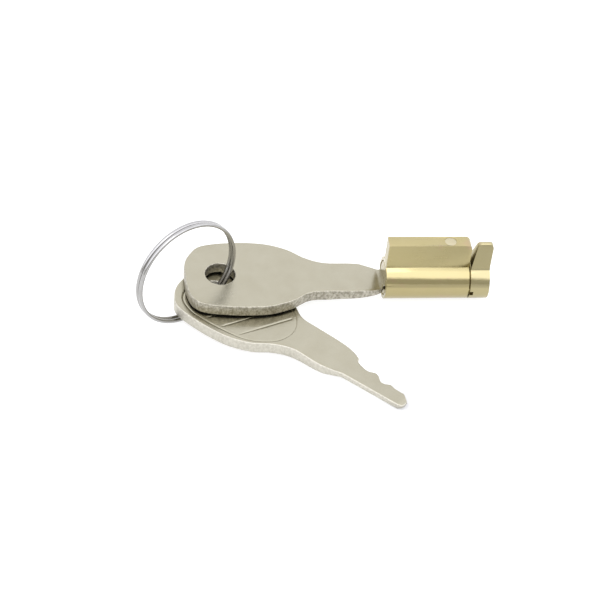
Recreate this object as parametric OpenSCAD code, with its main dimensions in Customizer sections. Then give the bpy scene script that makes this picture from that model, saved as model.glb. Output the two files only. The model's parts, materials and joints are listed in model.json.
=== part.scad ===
// Small wafer cam lock with a ribbed barrel, two flat keys and a split ring.
// Millimetres. The origin is on the barrel's axis at its front face, where the
// key goes in. +X runs along the axis to the cam, and +Z runs through the rib.

/* [Barrel] */
// Radius of the round barrel
barrel_r = 3.65; // [3.6:0.05:4]
// Length of the housing, front face to rear face
barrel_len = 14.45; // [14.2:0.05:16]
// Width of the guide rib
rib_w = 2.4; // [2.3:0.1:3]
// Height of the rib's top above the axis
rib_top = 8.5; // [8.4:0.1:10]
// Radius of the rib's upper corner at the cam end
rib_corner_r = 1; // [0.5:0.1:1.2]

/* [Retaining pin] */
// Distance of the pin from the front face
pin_x = 10.75; // [10.7:0.05:11.2]
// Diameter of the pin
pin_d = 2; // [1.6:0.1:2]

/* [Plug] */
// Radius of the turning plug
plug_r = 3; // [3:0.02:3.1]
// Running clearance between plug and housing, on the radius
plug_gap = 0.03; // [0.02:0.01:0.05]
// Height of the keyway's centre, set off from the axis to leave room for springs
keyway_z = -0.55; // [-0.6:0.01:-0.55]

/* [Wafers] */
// Number of wafers
wafer_count = 6; // [4:1:6]
// Distance from one wafer to the next
wafer_pitch = 1.6; // [1.6:0.02:1.62]
// Distance of the first wafer from the front face
wafer_first_x = 1; // [1:0.05:1.1]
// Thickness of a wafer
wafer_t = 0.75; // [0.6:0.05:0.8]

/* [Cam] */
// Gap between housing and cam
cam_gap = 0.3; // [0.2:0.05:0.5]
// Thickness of the cam at the barrel
cam_t = 3.3; // [3:0.1:4]
// Height of the cam lug's top above the axis
lug_top = 8.15; // [7.5:0.05:8.5]
// Width of the cam lug at the barrel
lug_w = 3.5; // [3:0.1:3.6]

/* [Keys] */
// Thickness of the bow and neck
bow_t = 2.2; // [2:0.05:2.2]
// Thickness of the blade
blade_t = 1.1; // [1:0.05:1.1]
// Height of the blade before its cuts
blade_h = 4.2; // [4:0.05:4.2]
// Radius of the hole in the bow
bow_hole_r = 2.6; // [2.6:0.05:2.7]
// Angle between the spare key and the key in the lock
spare_angle = -41; // [-45:1:-35]

/* [Split ring] */
// Outer radius of the ring
ring_r = 9.9; // [9.7:0.05:9.9]
// Width of the wire across the ring
wire_w = 0.65; // [0.6:0.05:0.75]
// Thickness of one turn of wire
wire_t = 0.75; // [0.6:0.05:0.75]

/* [Hidden] */

$fn = 96;
eps = 0.01;

brass = [0.72, 0.62, 0.36];
pale_brass = [0.76, 0.68, 0.45];
nickel = [0.70, 0.67, 0.59];
bright_steel = [0.62, 0.62, 0.62];
dark_steel = [0.40, 0.40, 0.41];

// Plug and its pockets
groove_r = plug_r - 0.4;
groove_w = pin_d + 0.2;
pin_tip_z = groove_r + 0.05;
keyway_clear = 0.05;
keyway_h = blade_h + 2 * keyway_clear;
keyway_t = blade_t + 2 * keyway_clear;
keyway_end = 11.6;
front_bevel = 0.25;

// Wafers run along Y in slots that open through both sides of the plug.
slot_clear = 0.025;
wafer_z0 = keyway_z - keyway_t / 2 - 0.5;
wafer_z1 = keyway_z + keyway_t / 2 + 0.5;
wafer_lift = 0.25;
window_z0 = keyway_z - keyway_t / 2 - 0.03;
window_z1 = keyway_z + keyway_t / 2 + 0.03;
wing_z1 = 1.85;
wing_y0 = 0.9;
wing_y1 = 1.6;
spring_y0 = -1.75;
spring_z = 1.22;
spring_r = 0.4;
spring_wire_r = 0.08;
spring_turns = 4.5;
spring_pocket_r = 0.55;
window_y0 = -blade_h / 2 + 0.25;
window_y1 = blade_h / 2 + keyway_clear + wafer_lift;

// Locking grooves in the housing, either side of the bore
lock_groove_depth = 0.38;
lock_groove_w = 2.6;

// Cam, its drive slot and its screw
cam_x0 = barrel_len + cam_gap;
cam_x1 = cam_x0 + cam_t;
lug_lean = 1;
lug_bulge = 0.3;
lug_corner_r = 1;
lug_crest_w = 0.9;
lug_crest_r = 0.4;
lug_side_tilt = 15.6;
drive_slot_w = 0.9;
drive_slot_d = 0.6;
tang_clear = 0.02;
screw_r = 0.9;
screw_hole_end = 12.3;
head_r = 1.7;
head_t = 0.8;
head_recess = 1;
driver_slot_w = 0.45;
driver_slot_d = 0.4;

// Keys. A key's own frame has its origin at the hole's centre, with +X towards
// the tip, +Y towards the cut edge and +Z out of the marked face.
blade_y = 0.55;
key_hole = [-28.25, blade_y, keyway_z];
bow_end = -6.05;
blade_start = 27.6;
blade_end = 39.6;
spare_hole = [-29.16, -1.22, keyway_z - bow_t - 0.27];
straight_edge = blade_y - blade_h / 2;
// Both sides of the bow, from its end to the blade
cut_side = [[bow_end, 0], [-5.9, 3.3], [-5, 6], [-2.8, 7.4], [2, 8.05], [7.6, 7.95],
    [11.9, 6.6], [15, 4.75], [18.2, 4.4], [23.8, 4.45], [26.4, 4], [27.8, 3.3]];
straight_side = [[-5.9, -2.8], [-4.9, -5], [-2.8, -7], [2, -7.75], [7.6, -7.55],
    [11.9, -6.15], [15, -3.95], [18.2, -2.7], [23.2, -2.5], [25.8, -2],
    [blade_start, straight_edge]];
// Each cut is [distance from the hole, height left above the straight edge].
cuts = [[28.15, 4.1], [29, 3.75], [30.3, 3.4], [31, 3.5], [31.9, 3.85],
    [32.7, 3.55], [33.6, 2.75], [34.4, 2.7], [35.4, 3.2], [36.2, 2.95],
    [37.2, 2.85], [38.4, 2.85]];
// Oval border on the marked face
border_w = 0.4;
border_depth = 0.15;
border_middle = [6, 0];
border = [[-4.3, 0], [-3.4, -4.5], [-0.6, -6.35], [2.6, -6.7], [6, -6.6], [10, -6.1],
    [12.8, -4.8], [15.1, -2.6], [15.9, 0.2], [15.1, 2.8], [12.8, 5.1], [10, 6.3],
    [6, 6.9], [2.6, 6.95], [-0.6, 6.6], [-3.4, 4.7]];

// Split ring: its centre, and the directions across its plane
ring_centre = [-34.67, -2.83, 4.28];
ring_across = [0.908, 0.419, 0];
ring_normal = [0.494, -0.8635, 0.102];
turn_gap = 0.04;
turn_offset = (wire_t + turn_gap) / 2;
ring_steps = 92;
ring_start = 300;
step_over = 30;
end_gap = 2;

// ---- Helpers ----

// Draws its children's XY outline as a YZ section and runs it along +X.
module along_x(length) {
    rotate([90, 0, 90]) linear_extrude(length) children();
}

// Draws its children's XY outline as an XZ profile, centred across Y.
module across_y(width) {
    translate([0, width / 2, 0]) rotate([90, 0, 0]) linear_extrude(width) children();
}

// A cylinder along +X from x0 to x1.
module rod_x(r, x0, x1) {
    translate([x0, 0, 0]) rotate([0, 90, 0]) cylinder(r = r, h = x1 - x0);
}

// A block given by its lowest and highest corners.
module block(low, high) {
    translate(low) cube(high - low);
}

// Distance of wafer i from the front face.
function wafer_x(i) = wafer_first_x + wafer_pitch * (i - 1);

// Points on an arc about c, from angle a0 to a1.
function arc(c, r, a0, a1, n = 8) =
    [for (i = [0:n]) c + r * [cos(a0 + (a1 - a0) * i / n), sin(a0 + (a1 - a0) * i / n)]];

// Smooth curve through p, by Catmull and Rom, with n points a span.
function at(p, i) = p[max(0, min(len(p) - 1, i))];
function curve_point(a, b, c, d, t) =
    (2 * b + (c - a) * t + (2 * a - 5 * b + 4 * c - d) * t * t
        + (3 * b - a - 3 * c + d) * t * t * t) / 2;
function curve(p, n = 5) =
    [for (i = [0:len(p) - 2], k = [0:n - 1])
        curve_point(at(p, i - 1), p[i], p[i + 1], at(p, i + 2), k / n)];
function loop_at(p, i) = p[(i + len(p)) % len(p)];
function loop(p, n = 5) =
    [for (i = [0:len(p) - 1], k = [0:n - 1])
        curve_point(loop_at(p, i - 1), p[i], loop_at(p, i + 1), loop_at(p, i + 2), k / n)];
function reversed(p) = [for (i = [len(p) - 1:-1:0]) p[i]];

// Faces of a tube made of rings of s points, closed at both ends.
function tube_faces(rings, s) = concat(
    [[for (k = [0:s - 1]) k]],
    [[for (k = [s - 1:-1:0]) (rings - 1) * s + k]],
    [for (i = [0:rings - 2], k = [0:s - 1])
        [i * s + k, (i + 1) * s + k, (i + 1) * s + (k + 1) % s, i * s + (k + 1) % s]]);

// ---- Housing ----

module barrel_section() {
    circle(r = barrel_r);
    translate([-rib_w / 2, 0]) square([rib_w, rib_top]);
}

module rib_profile() {
    polygon(concat(
        [[0, -barrel_r], [0, rib_top]],
        arc([barrel_len - rib_corner_r, rib_top - rib_corner_r], rib_corner_r, 90, 0),
        [[barrel_len, -barrel_r]]));
}

// A groove at each side of the bore, for the wafers' ends when the key is out.
// They face the wafers at each end of the plug's half turn.
module locking_grooves() {
    intersection() {
        rod_x(plug_r + lock_groove_depth, -1, wafer_x(wafer_count) + 1);
        union() {
            block([-1, 0, keyway_z - lock_groove_w / 2],
                [barrel_len, barrel_r, keyway_z + lock_groove_w / 2]);
            block([-1, -barrel_r, -keyway_z - lock_groove_w / 2],
                [barrel_len, 0, -keyway_z + lock_groove_w / 2]);
        }
    }
}

module housing() {
    color(brass) difference() {
        intersection() {
            along_x(barrel_len) barrel_section();
            across_y(2 * barrel_r + 1) rib_profile();
        }
        rod_x(plug_r + plug_gap, -1, barrel_len + 1);
        locking_grooves();
        translate([pin_x, 0, 0]) cylinder(d = pin_d + eps, h = rib_top + 1);
    }
}

module retaining_pin() {
    color(pale_brass) translate([pin_x, 0, pin_tip_z])
        cylinder(d = pin_d, h = rib_top - 0.05 - pin_tip_z);
}

// ---- Plug ----

// Pockets for wafer i and its spring.
module wafer_pocket(i) {
    half = wafer_t / 2 + slot_clear;
    block([wafer_x(i) - half, -plug_r - 1, wafer_z0 - slot_clear],
        [wafer_x(i) + half, plug_r + 1, wafer_z1 + slot_clear]);
    block([wafer_x(i) - half, wing_y0 - wafer_lift - 0.1, wafer_z1 - 0.2],
        [wafer_x(i) + half, wing_y1 + 0.05, wing_z1 + slot_clear]);
    translate([wafer_x(i), wing_y0, spring_z]) rotate([90, 0, 0])
        cylinder(r = spring_pocket_r, h = wing_y0 - spring_y0);
}

// Part-turn groove for the pin: half a turn from the rib, with room for the pin.
module pin_groove() {
    difference() {
        rod_x(plug_r + 1, pin_x - groove_w / 2, pin_x + groove_w / 2);
        rod_x(groove_r, pin_x - groove_w, pin_x + groove_w);
        block([pin_x - groove_w, -plug_r - 2, -plug_r - 2],
            [pin_x + groove_w, -groove_w / 2, plug_r + 2]);
    }
}

// Two ears on the plug's tail that drive the cam.
module drive_tang() {
    intersection() {
        rod_x(plug_r - 0.1, cam_x0 - 0.5, cam_x0 + drive_slot_d - 0.05);
        block([cam_x0 - 0.5, -barrel_r, keyway_z - drive_slot_w / 2 + tang_clear],
            [cam_x1, barrel_r, keyway_z + drive_slot_w / 2 - tang_clear]);
    }
}

module plug() {
    color(brass) difference() {
        union() {
            rotate([0, 90, 0]) cylinder(r1 = plug_r - front_bevel, r2 = plug_r, h = front_bevel);
            rod_x(plug_r, front_bevel, cam_x0 - 0.02);
            drive_tang();
        }
        block([-1, -keyway_h / 2, keyway_z - keyway_t / 2],
            [keyway_end, keyway_h / 2, keyway_z + keyway_t / 2]);
        for (i = [1:wafer_count]) wafer_pocket(i);
        pin_groove();
        rod_x(screw_r + eps, screw_hole_end, cam_x1);
    }
}

// ---- Wafers ----

// A flat wafer with a window for the key and a wing for its spring.
module wafer(i) {
    reach = sqrt(pow(plug_r - 0.02, 2) - pow(wafer_z0, 2)) - wafer_lift;
    color(pale_brass) translate([wafer_x(i) - wafer_t / 2, 0, 0]) difference() {
        union() {
            intersection() {
                block([0, -reach, wafer_z0], [wafer_t, plug_r, wafer_z1]);
                rod_x(plug_r - 0.04, -1, wafer_t + 1);
            }
            block([0, wing_y0, wafer_z1 - 0.2], [wafer_t, wing_y1, wing_z1]);
        }
        block([-1, window_y0, window_z0], [wafer_t + 1, window_y1, window_z1]);
    }
}

// A coil spring along Y that pushes the wafer's wing towards +Y.
module wafer_spring(i) {
    sides = 6;
    rings = 1 + floor(spring_turns * 10);
    length = wing_y0 - spring_y0 - 2 * spring_wire_r - 0.04;
    function ring(k) = let (
        a = 360 * spring_turns * k / (rings - 1),
        y = spring_y0 + spring_wire_r + 0.02 + length * k / (rings - 1))
        [for (j = [0:sides - 1]) let (b = 360 * j / sides, r = spring_r + spring_wire_r * cos(b))
            [r * cos(a), y + spring_wire_r * sin(b), r * sin(a)]];
    color(dark_steel) translate([wafer_x(i), 0, spring_z])
        polyhedron(points = [for (k = [0:rings - 1], p = ring(k)) p],
            faces = tube_faces(rings, sides), convexity = 6);
}

// ---- Cam ----

module lug_profile() {
    foot = barrel_r - 0.3;
    back_x = cam_x1 + lug_bulge;
    lug_z = lug_top - lug_corner_r + 0.05;
    polygon(concat(
        [[cam_x0, -foot], [cam_x0, foot]],
        arc([cam_x0 + lug_lean + lug_corner_r * 0.8, lug_z], lug_corner_r, 168, 90, 8),
        arc([back_x - lug_corner_r, lug_z], lug_corner_r, 90, -15, 10),
        [[cam_x1, barrel_r + 0.3], [cam_x1, -foot]]));
}

// The lug narrows from the barrel to a rounded crest.
module lug_section() {
    side = lug_crest_w / 2 - lug_crest_r;
    high = lug_top - lug_crest_r;
    foot = sqrt(barrel_r * barrel_r - lug_w * lug_w / 4) - 0.05;
    polygon(concat(
        [[-lug_w / 2, 0], [-lug_w / 2, foot]],
        arc([-side, high], lug_crest_r, 180 - lug_side_tilt, 90, 6),
        arc([side, high], lug_crest_r, 90, lug_side_tilt, 6),
        [[lug_w / 2, foot], [lug_w / 2, 0]]));
}

module cam() {
    color(brass) difference() {
        union() {
            rod_x(barrel_r, cam_x0, cam_x1);
            intersection() {
                across_y(lug_w + 1) lug_profile();
                translate([cam_x0, 0, 0]) along_x(cam_t + 1) lug_section();
            }
        }
        block([cam_x0 - 1, -barrel_r - 1, keyway_z - drive_slot_w / 2],
            [cam_x0 + drive_slot_d, barrel_r + 1, keyway_z + drive_slot_w / 2]);
        rod_x(screw_r + 0.1, cam_x0 - 1, cam_x1 + 1);
        rod_x(head_r + 0.1, cam_x1 - head_recess, cam_x1 + 1);
    }
}

module cam_screw() {
    head_x = cam_x1 - head_recess;
    color(dark_steel) difference() {
        union() {
            rod_x(screw_r, screw_hole_end + 0.1, head_x + eps);
            rod_x(head_r, head_x, head_x + head_t);
        }
        block([head_x + head_t - driver_slot_d, -head_r - 1, -driver_slot_w / 2],
            [head_x + head_t + 1, head_r + 1, driver_slot_w / 2]);
    }
}

// ---- Keys ----

module key_outline() {
    polygon(concat(
        curve(concat(reversed(cut_side), straight_side)),
        [[blade_start, straight_edge]],
        arc([blade_end - 1, straight_edge + 1], 1, -90, 0, 4),
        [[blade_end, straight_edge + 1.8]],
        [for (c = reversed(cuts)) [c[0], straight_edge + c[1]]]));
}

// Side view of the key: full thickness at the bow, ramps down to the blade.
module key_profile() {
    polygon([[bow_end - 1, -bow_t / 2], [24.4, -bow_t / 2], [27.3, -blade_t / 2],
        [38.8, -blade_t / 2], [blade_end, -0.3], [blade_end, 0.3], [38.8, blade_t / 2],
        [25.6, blade_t / 2], [18.6, bow_t / 2], [bow_end - 1, bow_t / 2]]);
}

// Border points moved in towards its middle.
function inset(p, d) = [for (q = p) q - d * (q - border_middle) / norm(q - border_middle)];

// Shallow oval border on the key's marked face.
module bow_border() {
    translate([0, 0, bow_t / 2 - border_depth]) linear_extrude(1) difference() {
        polygon(loop(border));
        polygon(loop(inset(border, border_w)));
    }
}

module key_shape() {
    color(nickel) difference() {
        intersection() {
            translate([0, 0, -bow_t]) linear_extrude(2 * bow_t) key_outline();
            across_y(40) key_profile();
        }
        translate([0, 0, -bow_t]) cylinder(r = bow_hole_r, h = 2 * bow_t);
        bow_border();
    }
}

// The key in the lock lies with its marked face down.
module key() {
    translate(key_hole) rotate([180, 0, 0]) key_shape();
}

// The spare lies with its marked face up, so its cuts face the lock.
module spare_key() {
    translate(spare_hole) rotate([0, 0, spare_angle]) key_shape();
}

// ---- Split ring ----

function cross_unit(a, b) = let (c = cross(a, b)) c / norm(c);

// Offset of the wire along the ring's normal, s turns from its start. It steps
// over just before the end of its first turn, in the space between its two ends.
function wire_offset(s) = let (t = (s - 1) * 360 / step_over + 1)
    t <= 0 ? -turn_offset : t >= 1 ? turn_offset : turn_offset * (2 * t * t * (3 - 2 * t) - 1);

module split_ring() {
    n = ring_normal / norm(ring_normal);
    u = cross_unit(cross(n, ring_across), n);
    v = cross(n, u);
    turns = 2 - (step_over + end_gap) / 360;
    section = [[-0.5, -0.25], [-0.5, 0.25], [-0.3, 0.5], [0.3, 0.5],
        [0.5, 0.25], [0.5, -0.25], [0.3, -0.5], [-0.3, -0.5]];
    function ring(k) = let (s = turns * k / (ring_steps - 1), a = ring_start + 360 * s)
        [for (q = section) let (r = ring_r - wire_w / 2 + wire_w * q[0])
            ring_centre + r * (cos(a) * u + sin(a) * v) + (wire_offset(s) + wire_t * q[1]) * n];
    color(bright_steel)
        polyhedron(points = [for (k = [0:ring_steps - 1], p = ring(k)) p],
            faces = tube_faces(ring_steps, len(section)), convexity = 8);
}

housing();
retaining_pin();
plug();
cam();
cam_screw();
wafer(1);  // wafer_1
wafer(2);  // wafer_2
wafer(3);  // wafer_3
wafer(4);  // wafer_4
wafer(5);  // wafer_5
wafer(6);  // wafer_6
wafer_spring(1);  // wafer_spring_1
wafer_spring(2);  // wafer_spring_2
wafer_spring(3);  // wafer_spring_3
wafer_spring(4);  // wafer_spring_4
wafer_spring(5);  // wafer_spring_5
wafer_spring(6);  // wafer_spring_6
key();
spare_key();
split_ring();
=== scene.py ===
"""Looks, light and camera for the cam lock, its two keys and their split ring.

Lengths in the key and ring outlines are in millimetres, in the same frames as
the CAD source, and mm() turns them into metres.
"""

import json
import math

import bmesh
import bpy
import numpy as np
from mathutils import Matrix, Vector, geometry


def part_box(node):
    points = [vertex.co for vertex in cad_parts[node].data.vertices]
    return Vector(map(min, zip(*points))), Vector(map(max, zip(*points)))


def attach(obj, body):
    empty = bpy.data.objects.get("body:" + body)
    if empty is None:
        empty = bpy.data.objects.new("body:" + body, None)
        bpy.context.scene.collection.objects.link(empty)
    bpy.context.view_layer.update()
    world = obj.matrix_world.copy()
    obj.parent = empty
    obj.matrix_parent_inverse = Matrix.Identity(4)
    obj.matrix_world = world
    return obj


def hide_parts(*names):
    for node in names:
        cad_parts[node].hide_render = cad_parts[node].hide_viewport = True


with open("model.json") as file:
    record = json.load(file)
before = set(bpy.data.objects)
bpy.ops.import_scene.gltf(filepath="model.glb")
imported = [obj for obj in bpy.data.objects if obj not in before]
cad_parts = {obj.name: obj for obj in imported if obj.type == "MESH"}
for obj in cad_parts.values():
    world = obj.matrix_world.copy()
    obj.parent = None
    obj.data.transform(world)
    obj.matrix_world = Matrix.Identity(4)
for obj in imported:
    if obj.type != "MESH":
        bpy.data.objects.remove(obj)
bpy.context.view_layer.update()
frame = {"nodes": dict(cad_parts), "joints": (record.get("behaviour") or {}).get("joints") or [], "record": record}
record = frame["record"]
MM = 0.001
# Jitter of the points in the keys' faces
rng = np.random.default_rng(7)


def mm(v):
    """Millimetres as metres."""
    return np.asarray(v, float) * MM


def joint(name):
    return next(j for j in frame["joints"] if j["name"] == name)


def mount(name):
    return next(m for m in record["mounts"] if m["name"] == name)


# ---- Camera, floor and light ----

VIEW_AZIMUTH = math.radians(12)
VIEW_ELEVATION = math.radians(44)
VIEW_ROLL = math.radians(8)
CAMERA_DISTANCE = 0.517
LENS = 180
# The barrel's front face, seen from the middle of the picture, across and up
AIM_ACROSS = -0.0143
AIM_UP = -0.0039


def view_axes():
    """Right, up and back of the camera, before its roll."""
    a, e = VIEW_AZIMUTH, VIEW_ELEVATION
    right = Vector((math.cos(a), -math.sin(a), 0))
    level = math.cos(e)
    back = Vector((-math.sin(a) * level, -math.cos(a) * level, math.sin(e)))
    return right, back.cross(right), back


def add_camera():
    right, up, back = view_axes()
    c, s = math.cos(VIEW_ROLL), math.sin(VIEW_ROLL)
    x = right * c + up * s
    y = up * c - right * s
    data = bpy.data.cameras.new("camera")
    data.lens = LENS
    data.clip_start = 0.01
    data.clip_end = 20
    cam = bpy.data.objects.new("camera", data)
    place = x * AIM_ACROSS + y * AIM_UP + back * CAMERA_DISTANCE
    cam.matrix_world = Matrix((
        (x.x, y.x, back.x, place.x),
        (x.y, y.y, back.y, place.y),
        (x.z, y.z, back.z, place.z),
        (0, 0, 0, 1)))
    bpy.context.scene.collection.objects.link(cam)
    bpy.context.scene.camera = cam


FLOOR_HALF = 3.0
FLOOR_GAP = 0.0001


def add_floor(material):
    """A floor under the three feet of the object: the cam, the ring and the spare's tip.

    Its own frame starts under the cam's rear end.
    """
    cam_low, cam_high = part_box("cam")
    barrel_foot = Vector((cam_high[0], 0, cam_low[2]))
    ring_low, ring_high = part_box("split_ring")
    ring_foot = Vector(((ring_low[0] + ring_high[0]) / 2,
                        (ring_low[1] + ring_high[1]) / 2, ring_low[2]))
    spare_low, spare_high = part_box("spare_key")
    blade_drop = mm((BOW_T - BLADE_T) / 2)
    tip_foot = Vector((spare_high[0], spare_low[1], spare_low[2] + blade_drop))
    normal = (ring_foot - barrel_foot).cross(tip_foot - barrel_foot).normalized()
    if normal.z < 0:
        normal.negate()
    mesh = bpy.data.meshes.new("floor")
    h = FLOOR_HALF
    mesh.from_pydata([(-h, -h, 0), (h, -h, 0), (h, h, 0), (-h, h, 0)], [], [(0, 1, 2, 3)])
    mesh.materials.append(material)
    floor = bpy.data.objects.new("floor", mesh)
    turn = Vector((0, 0, 1)).rotation_difference(normal).to_matrix().to_4x4()
    floor.matrix_world = Matrix.Translation(barrel_foot - normal * FLOOR_GAP) @ turn
    bpy.context.scene.collection.objects.link(floor)


def add_area(name, place, aim, size, power, colour):
    data = bpy.data.lights.new(name, "AREA")
    data.shape = "RECTANGLE"
    data.size, data.size_y = size
    data.energy = power
    data.color = colour
    lamp = bpy.data.objects.new(name, data)
    lamp.location = place
    ahead = Vector(aim) - Vector(place)
    lamp.rotation_euler = ahead.to_track_quat("-Z", "Y").to_euler()
    bpy.context.scene.collection.objects.link(lamp)


# Angle up from the front, over the top, to the back, then brightness and coolness
SKY = [(0, 0.31, 0), (28, 0.31, 0), (41, 1.12, 0.8), (70, 1.12, 0.8),
       (102, 0.8, 0.8), (125, 0.69, 0.7), (180, 0.62, 0.7)]
SKY_STRENGTH = 2.55


def sky_colour(level, cool):
    """Warm grey when cool is 0, and bluish when it is 1."""
    return level, level * (0.99 + 0.02 * cool), level * (0.97 + 0.13 * cool), 1


def add_sky():
    """A soft studio sky: a broad bright panel overhead and a darker front."""
    world = bpy.data.worlds.new("studio")
    world.use_nodes = True
    tree = world.node_tree
    tree.nodes.clear()
    link = tree.links.new
    out = tree.nodes.new("ShaderNodeOutputWorld")
    back = tree.nodes.new("ShaderNodeBackground")
    back.inputs["Strength"].default_value = SKY_STRENGTH
    place = tree.nodes.new("ShaderNodeTexCoord")
    split = tree.nodes.new("ShaderNodeSeparateXYZ")
    front = tree.nodes.new("ShaderNodeMath")
    front.operation = "MULTIPLY"
    front.inputs[1].default_value = -1
    angle = tree.nodes.new("ShaderNodeMath")
    angle.operation = "ARCTAN2"
    part = tree.nodes.new("ShaderNodeMath")
    part.operation = "DIVIDE"
    part.use_clamp = True
    part.inputs[1].default_value = math.pi
    tone = tree.nodes.new("ShaderNodeValToRGB")
    tone.color_ramp.interpolation = "EASE"
    stops = tone.color_ramp.elements
    while len(stops) < len(SKY):
        stops.new(0.5)
    for stop, (degrees, level, cool) in zip(stops, SKY):
        stop.position = degrees / 180
        stop.color = sky_colour(level, cool)
    link(place.outputs["Generated"], split.inputs[0])
    link(split.outputs["Y"], front.inputs[0])
    link(split.outputs["Z"], angle.inputs[0])
    link(front.outputs[0], angle.inputs[1])
    link(angle.outputs[0], part.inputs[0])
    link(part.outputs[0], tone.inputs["Fac"])
    link(tone.outputs["Color"], back.inputs["Color"])
    link(back.outputs[0], out.inputs[0])
    bpy.context.scene.world = world


def add_light():
    add_sky()
    add_area("softbox", place=(-0.22, -0.12, 0.8), aim=(-0.015, 0, 0), size=(0.6, 0.4),
             power=1.2, colour=(1.0, 0.99, 0.97))
    bpy.context.scene.view_settings.view_transform = "Standard"


# ---- Materials ----

class Nodes:
    """A small helper that makes and links shader nodes."""

    def __init__(self, name):
        self.material = bpy.data.materials.new(name)
        self.material.use_nodes = True
        self.tree = self.material.node_tree
        self.tree.nodes.clear()
        out = self.add("ShaderNodeOutputMaterial")
        self.shader = self.add("ShaderNodeBsdfPrincipled")
        self.link(self.shader.outputs[0], out.inputs["Surface"])
        self.place = self.add("ShaderNodeTexCoord").outputs["Object"]

    def add(self, kind, **values):
        node = self.tree.nodes.new(kind)
        for key, value in values.items():
            setattr(node, key, value)
        return node

    def link(self, a, b):
        self.tree.links.new(a, b)

    def coordinate(self, axis):
        """The object's own X, Y or Z, in metres."""
        node = self.add("ShaderNodeSeparateXYZ")
        self.link(self.place, node.inputs[0])
        return node.outputs[axis]

    def stretched(self, scale):
        node = self.add("ShaderNodeMapping")
        node.inputs["Scale"].default_value = scale
        self.link(self.place, node.inputs["Vector"])
        return node.outputs[0]

    def noise(self, scale, detail, rough, place=None):
        node = self.add("ShaderNodeTexNoise")
        node.inputs["Scale"].default_value = scale
        node.inputs["Detail"].default_value = detail
        node.inputs["Roughness"].default_value = rough
        self.link(place or self.place, node.inputs["Vector"])
        return node.outputs["Fac"]

    def mask(self, value, start, end, top=1.0):
        """0 up to start, top from end on, and a straight change between them."""
        node = self.add("ShaderNodeValToRGB")
        for element, at, level in zip(node.color_ramp.elements, (start, end), (0, top)):
            element.position = at
            element.color = (level, level, level, 1)
        self.link(value, node.inputs["Fac"])
        return node.outputs["Color"]

    def mix(self, factor, a, b):
        node = self.add("ShaderNodeMix", data_type="RGBA")
        self.link(factor, node.inputs["Factor"])
        for value, socket in ((a, node.inputs[6]), (b, node.inputs[7])):
            if isinstance(value, tuple):
                socket.default_value = (*value, 1)
            else:
                self.link(value, socket)
        return node.outputs[2]

    def math(self, kind, a, b):
        node = self.add("ShaderNodeMath", operation=kind)
        for value, socket in ((a, node.inputs[0]), (b, node.inputs[1])):
            if isinstance(value, (int, float)):
                socket.default_value = value
            else:
                self.link(value, socket)
        return node.outputs[0]

    def spread(self, value, low, high):
        """A value from 0 to 1 as one from low to high."""
        node = self.add("ShaderNodeMapRange")
        node.inputs["To Min"].default_value = low
        node.inputs["To Max"].default_value = high
        self.link(value, node.inputs["Value"])
        return node.outputs[0]

    def between(self, value, start, end):
        """0 before start, 1 past end, and a straight change between them."""
        node = self.add("ShaderNodeMapRange", clamp=True)
        node.inputs["From Min"].default_value = start
        node.inputs["From Max"].default_value = end
        self.link(value, node.inputs["Value"])
        return node.outputs[0]

    def attribute(self, name):
        return self.add("ShaderNodeAttribute", attribute_name=name).outputs["Fac"]

    def bump(self, height, depth, below=None):
        node = self.add("ShaderNodeBump")
        node.inputs["Strength"].default_value = 1.0
        node.inputs["Distance"].default_value = depth
        self.link(height, node.inputs["Height"])
        if below is not None:
            self.link(below, node.inputs["Normal"])
        return node.outputs[0]

    def finish(self, colour, rough, normal, metal=1.0):
        self.shader.inputs["Metallic"].default_value = metal
        self.link(colour, self.shader.inputs["Base Color"])
        if isinstance(rough, float):
            self.shader.inputs["Roughness"].default_value = rough
        else:
            self.link(rough, self.shader.inputs["Roughness"])
        if normal is not None:
            self.link(normal, self.shader.inputs["Normal"])
        return self.material


# The flats of the rib and the lug lie above this height, in metres, and are duller.
FLATS_Z = 0.0036
FLATS_DULLER = 0.13


def brass(name, main, pale, pink, rough):
    """Drawn brass with lines along the barrel, soft blotches and a few pink patches."""
    n = Nodes(name)
    lines = n.noise(1.0, 3, 0.6, n.stretched((25, 2600, 2600)))
    blotch = n.noise(260, 5, 0.6)
    patch = n.noise(420, 3, 0.5)
    colour = n.mix(n.spread(blotch, 0, 1), main, pale)
    colour = n.mix(n.mask(patch, 0.60, 0.72, 0.55), colour, pink)
    blotch_gloss = n.spread(blotch, rough - 0.04, rough + 0.05)
    gloss = n.math("ADD", n.spread(lines, -0.04, 0.05), blotch_gloss)
    above = n.math("GREATER_THAN", n.coordinate("Z"), FLATS_Z)
    gloss = n.math("ADD", gloss, n.math("MULTIPLY", above, FLATS_DULLER))
    normal = n.bump(lines, 0.000012)
    normal = n.bump(n.noise(1500, 4, 0.6), 0.000006, normal)
    normal = n.bump(n.noise(420, 3, 0.5), 0.00003, normal)
    return n.finish(colour, gloss, normal)


NICKEL_DARK = (0.298, 0.279, 0.207)
NICKEL_PALE = (0.345, 0.325, 0.247)
NICKEL_WORN = (0.355, 0.338, 0.262)


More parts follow.
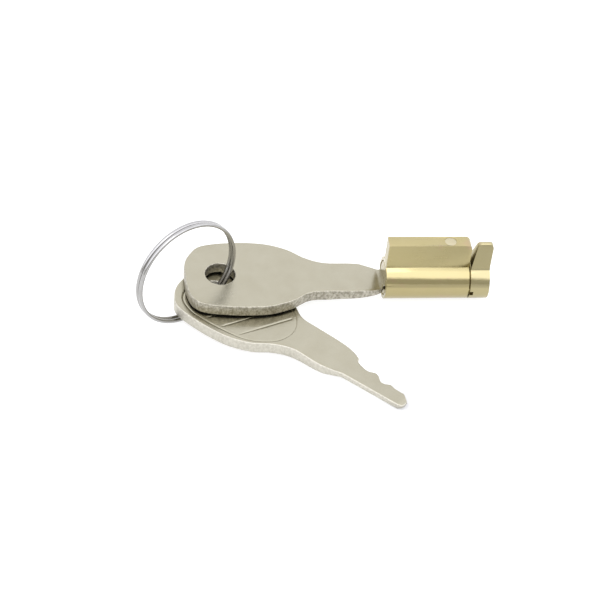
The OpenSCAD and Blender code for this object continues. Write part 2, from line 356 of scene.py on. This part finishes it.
def nickel(name, edge_dark_with_painted_light, edge_pale_with_painted_light):
    """Tumbled nickel plate: mottled, finely scratched, with rough sheared edges whose colours, given per key, also
    carry painted light: painted shade on the key in the lock and a painted reflection on the spare.
    """
    n = Nodes(name)
    mottle = n.noise(330, 6, 0.62)
    cloud = n.noise(90, 3, 0.5)
    colour = n.mix(n.spread(cloud, 0, 1), NICKEL_DARK, NICKEL_PALE)
    colour = n.mix(n.mask(mottle, 0.35, 0.75, 0.6), colour, NICKEL_WORN)
    pits = n.mask(n.noise(1500, 2, 0.5), 0.66, 0.74)
    edge_band = n.attribute("side")
    grain = n.noise(1.0, 5, 0.65, n.stretched((2700, 2700, 1900)))
    patches = n.mask(grain, 0.40, 0.62)
    # The side walls and edge roundings take this key's edge colours, sheared metal plus painted light: painted
    # shade on the key in the lock, a painted reflection of the floor on the spare.
    colour = n.mix(edge_band, colour, n.mix(patches, edge_dark_with_painted_light, edge_pale_with_painted_light))
    scratches = n.noise(1.0, 2, 0.5, n.stretched((260, 3800, 600)))
    scratches_across = n.noise(1.0, 2, 0.5, n.stretched((3000, 330, 600)))
    rough = n.math("ADD", n.spread(mottle, 0.15, 0.33), n.math("MULTIPLY", edge_band, 0.2))
    normal = n.bump(scratches, 0.000006)
    normal = n.bump(scratches_across, 0.000005, normal)
    normal = n.bump(pits, -0.000010, normal)
    normal = n.bump(n.math("MULTIPLY", grain, edge_band), 0.00012, normal)
    normal = n.bump(n.noise(140, 3, 0.5), 0.00002, normal)
    return n.finish(colour, rough, normal)


def steel(name, dark, light, rough, scale=700):
    """Bright wire or turned steel, with a soft mottle."""
    n = Nodes(name)
    mottle = n.noise(scale, 4, 0.55)
    colour = n.mix(mottle, dark, light)
    normal = n.bump(n.noise(scale * 3, 3, 0.5), 0.000008)
    return n.finish(colour, n.spread(mottle, rough - 0.07, rough + 0.1), normal)


FLOOR_GLOW = 0.78
# The glow falls by this much in front of the barrel, in a zone given by where it
# starts and where it is full, in metres in the floor's own frame.
GLOW_FALL = 0.46
FALL_Y = (-0.0145, -0.022)
FALL_X = (-0.0225, -0.0175)


def floor_paint():
    """A pale sheet that glows softly, so that shadows nearly vanish."""
    n = Nodes("floor_paint")
    grain = n.noise(60, 4, 0.5)
    colour = n.mix(grain, (0.32, 0.32, 0.318), (0.34, 0.34, 0.338))
    zone = n.math("MULTIPLY", n.between(n.coordinate("Y"), *FALL_Y),
                  n.between(n.coordinate("X"), *FALL_X))
    glow = n.math("SUBTRACT", FLOOR_GLOW, n.math("MULTIPLY", zone, GLOW_FALL))
    n.shader.inputs["Emission Color"].default_value = (1, 1, 0.995, 1)
    n.link(glow, n.shader.inputs["Emission Strength"])
    return n.finish(colour, 0.85, None, 0.0)


# ---- Shared geometry ----

def curve(points, per_span):
    """Catmull-Rom curve through the points, without the last of them."""
    p = np.array(points, float)
    last = len(p) - 1
    out = []
    for i in range(last):
        a, b, c, d = p[max(i - 1, 0)], p[i], p[i + 1], p[min(i + 2, last)]
        for k in range(per_span):
            t = k / per_span
            out.append((2 * b + (c - a) * t + (2 * a - 5 * b + 4 * c - d) * t * t
                        + (3 * b - a - 3 * c + d) * t ** 3) / 2)
    return np.array(out)


def arc(centre, radius, start, end, count):
    t = np.radians(np.linspace(start, end, count))
    return np.array(centre) + radius * np.column_stack([np.cos(t), np.sin(t)])


def evenly(loop, step):
    """The closed loop again, with points a step apart."""
    closed = np.vstack([loop, loop[:1]])
    steps = np.linalg.norm(np.diff(closed, axis=0), axis=1)
    length = np.concatenate([[0], np.cumsum(steps)])
    count = int(round(length[-1] / step))
    at = np.linspace(0, length[-1], count, endpoint=False)
    return np.column_stack([np.interp(at, length, closed[:, k]) for k in (0, 1)])


def outward(loop):
    """Unit normals of a closed loop, on the right of its direction."""
    ahead = np.roll(loop, -1, axis=0) - np.roll(loop, 1, axis=0)
    across = np.column_stack([ahead[:, 1], -ahead[:, 0]])
    return across / np.linalg.norm(ahead, axis=1)[:, None]


def distance_to(points, loop):
    """Distance of each point from a closed loop."""
    a, b = loop, np.roll(loop, -1, axis=0)
    ab = b - a
    ap = points[:, None, :] - a[None]
    t = np.clip((ap * ab).sum(2) / np.maximum((ab * ab).sum(1), 1e-12), 0, 1)
    return np.linalg.norm(ap - t[..., None] * ab, axis=2).min(1)


def inside(points, loop):
    """Which points lie inside a closed loop."""
    a, b = loop, np.roll(loop, -1, axis=0)
    x, y = points[:, :1], points[:, 1:]
    crosses = (a[:, 1] > y) != (b[:, 1] > y)
    rise = np.where(np.abs(b[:, 1] - a[:, 1]) < 1e-12, 1e-12, b[:, 1] - a[:, 1])
    left = x < a[:, 0] + (y - a[:, 1]) * (b[:, 0] - a[:, 0]) / rise
    return (crosses & left).sum(1) % 2 == 1


def smooth_object(name, vertices, faces, material):
    mesh = bpy.data.meshes.new(name)
    mesh.from_pydata([tuple(v) for v in vertices], [], faces)
    mesh.validate()
    mesh.shade_smooth()
    mesh.materials.append(material)
    made = bpy.data.objects.new(name, mesh)
    bpy.context.scene.collection.objects.link(made)
    return made


# ---- Keys ----

BOW_T = 2.2
BLADE_T = 1.1
BOW_HOLE_R = 2.6
BLADE_Y = 0.55
BLADE_H = 4.2
BOW_END = -6.05
BLADE_START = 27.6
BLADE_END = 39.6
STRAIGHT_EDGE = BLADE_Y - BLADE_H / 2
SPARE_ANGLE = -41
# Where each face slopes down from the bow's thickness to the blade's
MARKED_SLOPE = (18.6, 25.6)
PLAIN_SLOPE = (24.4, 27.3)
# Where the tip starts to thin, and by how much on each face
TIP_START = 38.6
TIP_THIN = 0.25
# Both sides of the bow, from its end to the blade
CUT_SIDE = [(BOW_END, 0), (-5.9, 3.3), (-5, 6), (-2.8, 7.4), (2, 8.05), (7.6, 7.95),
            (11.9, 6.6), (15, 4.75), (18.2, 4.4), (23.8, 4.45), (26.4, 4), (27.8, 3.3)]
STRAIGHT_SIDE = [(-5.9, -2.8), (-4.9, -5), (-2.8, -7), (2, -7.75), (7.6, -7.55),
                 (11.9, -6.15), (15, -3.95), (18.2, -2.7), (23.2, -2.5), (25.8, -2),
                 (BLADE_START, STRAIGHT_EDGE)]
# Each cut is (distance from the hole, height left above the straight edge)
CUTS = [(28.15, 4.1), (29, 3.75), (30.3, 3.4), (31, 3.5), (31.9, 3.85), (32.7, 3.55),
        (33.6, 2.75), (34.4, 2.7), (35.4, 3.2), (36.2, 2.95), (37.2, 2.85), (38.4, 2.85)]
# Oval border on the marked face
BORDER = [(-4.3, 0), (-3.4, -4.5), (-0.6, -6.35), (2.6, -6.7), (6, -6.6), (10, -6.1),
          (12.8, -4.8), (15.1, -2.6), (15.9, 0.2), (15.1, 2.8), (12.8, 5.1), (10, 6.3),
          (6, 6.9), (2.6, 6.95), (-0.6, 6.6), (-3.4, 4.7)]
BORDER_DEPTH = 0.09
BORDER_WIDTH = 0.11
PANEL_DEPTH = 0.03
# Straight bars inside the border
BAR_DEPTH = 0.08
BAR_WIDTH = 0.11
BAR_SLOPE = math.radians(62)
BAR_STARTS = (5.2, 8.0, 10.8)
# Rounding of the outer edge and of the hole's edge
EDGE_R = 0.22
HOLE_EDGE_R = 0.16
# Spacing of the points in the faces, on the outline and along the mark
GRID = 0.24
OUTLINE_STEP = 0.26
EDGE_ROW_STEP = 0.22
MARK_STEP = 0.2
MARK_ROWS = (-0.2, -0.1, 0, 0.1, 0.2)
EDGE_ROWS = (0.12, 0.38, 0.7, 1.05)


def key_outline():
    cuts = np.array([(x, STRAIGHT_EDGE + h) for x, h in CUTS])
    return np.vstack([
        curve(CUT_SIDE[::-1] + STRAIGHT_SIDE, 14),
        [(BLADE_START, STRAIGHT_EDGE)],
        arc((BLADE_END - 1, STRAIGHT_EDGE + 1), 1, -90, 0, 9),
        [(BLADE_END, STRAIGHT_EDGE + 1.8)],
        curve(cuts, 6)[::-1]])


def smooth_step(x, start, end):
    t = np.clip((x - start) / (end - start), 0, 1)
    return t * t * (3 - 2 * t)


def half_thickness(x, slope):
    """Half of the key's thickness on one face, x along the key."""
    start, end = slope
    t = BOW_T / 2 - (BOW_T - BLADE_T) / 2 * np.clip((x - start) / (end - start), 0, 1)
    return t - TIP_THIN * smooth_step(x, TIP_START, BLADE_END)


def rounding(d, radius):
    """How far a rounded edge falls at distance d from it."""
    gap = radius - np.clip(d, 0, radius)
    return radius - np.sqrt(np.maximum(radius ** 2 - gap ** 2, 0))


def border_loop():
    return curve([BORDER[-1]] + BORDER + BORDER[:2], 10)[10:-10]


def face_mark(p):
    """Depth of the plain mark on a key's marked face: an oval panel with straight bars."""
    loop = border_loop()
    d = distance_to(p, loop)
    inner = inside(p, loop)
    groove = BORDER_DEPTH * np.exp(-(d / BORDER_WIDTH) ** 2)
    depth = groove + PANEL_DEPTH * inner * smooth_step(d, 0, 0.3)
    across = p[:, 0] * math.sin(BAR_SLOPE) - p[:, 1] * math.cos(BAR_SLOPE)
    clear = inner * smooth_step(d, 0.5, 0.9)
    clear = clear * smooth_step(np.hypot(p[:, 0], p[:, 1]), 4.2, 4.8)
    for start in BAR_STARTS:
        depth = depth + clear * BAR_DEPTH * np.exp(-((across - start) / BAR_WIDTH) ** 2)
    return depth


def wander(p, scale, seed):
    """Gentle low waves, for dents and hand-finished unevenness."""
    r = np.random.default_rng(seed)
    total = np.zeros(len(p))
    for k in range(7):
        a, turn = r.uniform(0, 2 * math.pi, 2)
        f = scale * r.uniform(0.6, 1.7)
        total += np.sin(f * (p[:, 0] * math.cos(a) + p[:, 1] * math.sin(a)) + turn)
    return total / 7


def mark_points():
    """Close rows of points along the mark's grooves, so that they come out crisp."""
    loop = evenly(border_loop(), MARK_STEP)
    rows = [loop + outward(loop) * d for d in MARK_ROWS]
    along = np.array([math.cos(BAR_SLOPE), math.sin(BAR_SLOPE)])
    across = np.array([math.sin(BAR_SLOPE), -math.cos(BAR_SLOPE)])
    for start in BAR_STARTS:
        at = np.arange(-9, 14, MARK_STEP)[:, None] * along
        rows += [at + across * (start + d) for d in MARK_ROWS]
    points = np.vstack(rows)
    held = inside(points, loop) | (distance_to(points, loop) < 0.25)
    return points[held] + rng.uniform(-0.004, 0.004, (held.sum(), 2))


def hole_loop(count):
    return arc((0, 0), BOW_HOLE_R, 0, 360, count + 1)[:-1]


def key_vertices():
    """Plan points of one face: outline, hole and a filling of grid points."""
    outline = evenly(key_outline(), OUTLINE_STEP)
    hole = hole_loop(60)
    edge_rows = ((evenly(key_outline(), EDGE_ROW_STEP), EDGE_R), (hole_loop(80), HOLE_EDGE_R))
    rings = []
    for loop, radius in edge_rows:
        out = outward(loop)
        for part in EDGE_ROWS:
            for side in (-1, 1):
                rings.append((loop + side * out * radius * part, part * radius))
    marks = mark_points()
    row = GRID * math.sqrt(3) / 2
    ys = np.arange(-9, 9, row)
    grid = np.array([(x + (k % 2) * GRID / 2, y) for k, y in enumerate(ys)
                     for x in np.arange(BOW_END, BLADE_END, GRID)])
    grid = grid + rng.uniform(-0.01, 0.01, grid.shape)
    near_mark = np.array([np.hypot(*(marks - g).T).min() < 0.1 for g in grid])
    keep = []
    clear = EDGE_R * 1.25
    for points, least in rings + [(marks, clear), (grid[~near_mark], clear)]:
        points = points[inside(points, outline)]
        points = points[np.hypot(points[:, 0], points[:, 1]) > BOW_HOLE_R]
        to_hole = np.hypot(points[:, 0], points[:, 1]) - BOW_HOLE_R
        d = np.minimum(distance_to(points, outline), to_hole)
        keep.append(points[d > least * 0.9])
    return outline, hole, np.vstack(keep)


def triangulate(outline, hole, filling):
    """Triangles over the plan points, without the hole and the outside."""
    a, b = len(outline), len(hole)
    points = np.vstack([outline, hole, filling])
    edges = [(k, (k + 1) % a) for k in range(a)]
    edges += [(a + k, a + (k + 1) % b) for k in range(b)]
    out = geometry.delaunay_2d_cdt([Vector(p) for p in points], edges, [], 0, 1e-5)
    places, faces = np.array([tuple(v) for v in out[0]]), out[2]
    centres = np.array([places[list(f)].mean(0) for f in faces])
    good = inside(centres, outline) & ~inside(centres, hole)
    return places, [f for f, g in zip(faces, good) if g]


def rim_edges(faces):
    """Edges that only one face uses, in that face's direction."""
    used = dict.fromkeys((f[k], f[(k + 1) % 3]) for f in faces for k in range(3))
    return [(a, b) for a, b in used if (b, a) not in used]


def make_key(name, body, node, place, material, seed):
    """One key: both faces, and side walls that have a row of points halfway down."""
    outline, hole, filling = key_vertices()
    plan, faces = triangulate(outline, hole, filling)
    to_edge = distance_to(plan, outline)
    to_hole = np.maximum(np.hypot(plan[:, 0], plan[:, 1]) - BOW_HOLE_R, 0)
    edge_r = EDGE_R * (1 + 0.25 * wander(plan, 1.1, seed))
    drop = np.maximum(rounding(to_edge, edge_r), rounding(to_hole, HOLE_EDGE_R))
    top = half_thickness(plan[:, 0], MARKED_SLOPE) - drop - face_mark(plan)
    low = -half_thickness(plan[:, 0], PLAIN_SLOPE) + drop
    count = len(plan)
    vertices = np.vstack([np.column_stack([plan, top]), np.column_stack([plan, low])])
    mesh_faces = [tuple(f) for f in faces]
    mesh_faces += [tuple(v + count for v in reversed(f)) for f in faces]
    rim = rim_edges(faces)
    mid = {}
    for edge in rim:
        for v in edge:
            if v not in mid:
                mid[v] = len(vertices) + len(mid)
    middle = np.array([[plan[v][0], plan[v][1], (top[v] + low[v]) / 2] for v in mid])
    vertices = np.vstack([vertices, middle])
    for a, b in rim:
        mesh_faces.append((b, a, mid[a], mid[b]))
        mesh_faces.append((mid[b], mid[a], a + count, b + count))
    made = smooth_object(name, mm(vertices), mesh_faces, material)
    shade = made.data.attributes.new("side", "FLOAT", "POINT")
    near = smooth_step(-np.minimum(to_edge, to_hole), -EDGE_R * 0.9, -0.02)
    values = np.concatenate([near, near, np.ones(len(mid))])
    shade.data.foreach_set("value", values.astype(np.float32))
    made.data.transform(place)
    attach(made, body)
    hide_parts(node)


def make_keys(upper, lower):
    """The key in the lock, plain face up, and the spare, marked face up."""
    key_hole = Vector(joint("ring_swing")["pos_m"])
    spare_hole = Vector(joint("spare_key_swing")["pos_m"])
    in_lock = Matrix.Translation(key_hole) @ Matrix.Rotation(math.pi, 4, "X")
    beside = Matrix.Translation(spare_hole) @ Matrix.Rotation(math.radians(SPARE_ANGLE), 4, "Z")
    make_key("key_in_lock", "key", "key", in_lock, upper, 3)
    make_key("key_spare", "spare_key", "spare_key", beside, lower, 4)


# ---- Split ring ----

RING_R = 9.9
WIRE_W = 0.65
WIRE_T = 0.75
TURN_GAP = 0.04
RING_ACROSS = Vector((0.908, 0.419, 0))
# In degrees round the ring: where the wire starts, the step from one turn to the
# other, and the gap between the wire's last end and that step
RING_START = 300
STEP_OVER = 30
END_GAP = 2
RING_TURNS = 2 - (STEP_OVER + END_GAP) / 360
RING_STEPS = 300
# Size of the wire's end faces, for a slightly rounded end
WIRE_END = 0.86


def wire_offset(s):
    """Offset of the wire along the ring's normal, s turns from its start."""
    t = min(max((s - 1) * 360 / STEP_OVER + 1, 0), 1)
    return (WIRE_T + TURN_GAP) / 2 * (2 * t * t * (3 - 2 * t) - 1)


def wire_section():
    """Rounded section of the flattened wire, from -0.5 to 0.5 each way."""
    t = np.radians(np.arange(0, 360, 22.5))
    round_x = np.sign(np.cos(t)) * np.abs(np.cos(t)) ** 0.8
    round_y = np.sign(np.sin(t)) * np.abs(np.sin(t)) ** 0.85
    return np.column_stack([round_x, round_y]) / 2


def make_ring(material):
    """The wire, swept through nearly two turns about the ring's centre."""
    loop = mount("ring_loop")
    centre = Vector(loop["pos_m"]) / MM
    n = Vector(loop["axis"]).normalized()
    u = n.cross(RING_ACROSS).cross(n).normalized()
    v = n.cross(u)
    section = wire_section()
    vertices = []
    for k in range(RING_STEPS):
        s = RING_TURNS * k / (RING_STEPS - 1)
        a = math.radians(RING_START + 360 * s)
        thin = WIRE_END if k in (0, RING_STEPS - 1) else 1.0
        for x, y in section:
            r = RING_R - WIRE_W / 2 + WIRE_W * x * thin
            point = centre + (u * math.cos(a) + v * math.sin(a)) * r
            vertices.append(point + n * (wire_offset(s) + WIRE_T * y * thin))
    sides = len(section)
    faces = []
    for i in range(0, (RING_STEPS - 1) * sides, sides):
        for k in range(sides):
            after = (k + 1) % sides
            faces.append((i + k, i + after, i + sides + after, i + sides + k))
    faces.append(tuple(reversed(range(sides))))
    faces.append(tuple((RING_STEPS - 1) * sides + k for k in range(sides)))
    made = smooth_object("ring_wire", mm(vertices), faces, material)
    fix_normals(made.data)
    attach(made, "split_ring")
    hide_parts("split_ring")


def fix_normals(mesh):
    bm = bmesh.new()
    bm.from_mesh(mesh)
    bmesh.ops.recalc_face_normals(bm, faces=bm.faces)
    bm.to_mesh(mesh)
    bm.free()


# ---- Machined parts, kept from the CAD ----

def soften(node, width, material, segments=3):
    """A material and a small rounded edge on a CAD node, width in metres."""
    made = frame["nodes"][node]
    made.data.materials.clear()
    made.data.materials.append(material)
    weld = made.modifiers.new("weld", "WELD")
    weld.merge_threshold = 0.000002
    bevel = made.modifiers.new("edge", "BEVEL")
    bevel.width = width
    bevel.segments = segments
    bevel.limit_method = "ANGLE"
    bevel.angle_limit = math.radians(32)
    bevel.harden_normals = True
    made.data.shade_smooth()
    return made


def dress_machined():
    barrel = brass("barrel_brass", main=(0.345, 0.295, 0.142), pale=(0.375, 0.325, 0.175),
                   pink=(0.385, 0.285, 0.175), rough=0.15)
    tail = brass("cam_brass", main=(0.345, 0.30, 0.158), pale=(0.375, 0.335, 0.195),
                 pink=(0.385, 0.29, 0.185), rough=0.2)
    core = brass("core_brass", main=(0.33, 0.28, 0.14), pale=(0.37, 0.32, 0.175),
                 pink=(0.38, 0.28, 0.175), rough=0.25)
    wafers = brass("wafer_brass", main=(0.39, 0.33, 0.18), pale=(0.42, 0.37, 0.23),
                   pink=(0.40, 0.31, 0.20), rough=0.28)
    pin = brass("pin_brass", main=(0.40, 0.355, 0.225), pale=(0.44, 0.405, 0.28),
                pink=(0.40, 0.33, 0.23), rough=0.22)
    plain = steel("plain_steel", (0.24, 0.24, 0.24), (0.33, 0.33, 0.32), 0.35)
    spring = steel("spring_steel", (0.26, 0.26, 0.27), (0.36, 0.36, 0.36), 0.28)
    soften("housing", 0.00012, barrel)
    soften("cam", 0.00016, tail, 4)
    soften("plug", 0.00006, core, 2)
    soften("retaining_pin", 0.0002, pin)
    soften("cam_screw", 0.00010, plain)
    for k in range(1, 7):
        soften(f"wafer_{k}", 0.00005, wafers, 2)
        soften(f"wafer_spring_{k}", 0.00001, spring, 1)


add_camera()
add_floor(floor_paint())
add_light()
dress_machined()
# The key in the lock gets dark edges of painted shade, the spare pale edges of a painted reflection of the floor;
# their faces share one nickel.
make_keys(nickel("key_nickel", (0.235, 0.218, 0.17), (0.475, 0.45, 0.375)),
          nickel("spare_nickel_painted_reflection_edges", (0.44, 0.42, 0.355), (0.535, 0.515, 0.445)))
make_ring(steel("ring_steel", (0.30, 0.295, 0.285), (0.40, 0.395, 0.382), 0.14, 500))
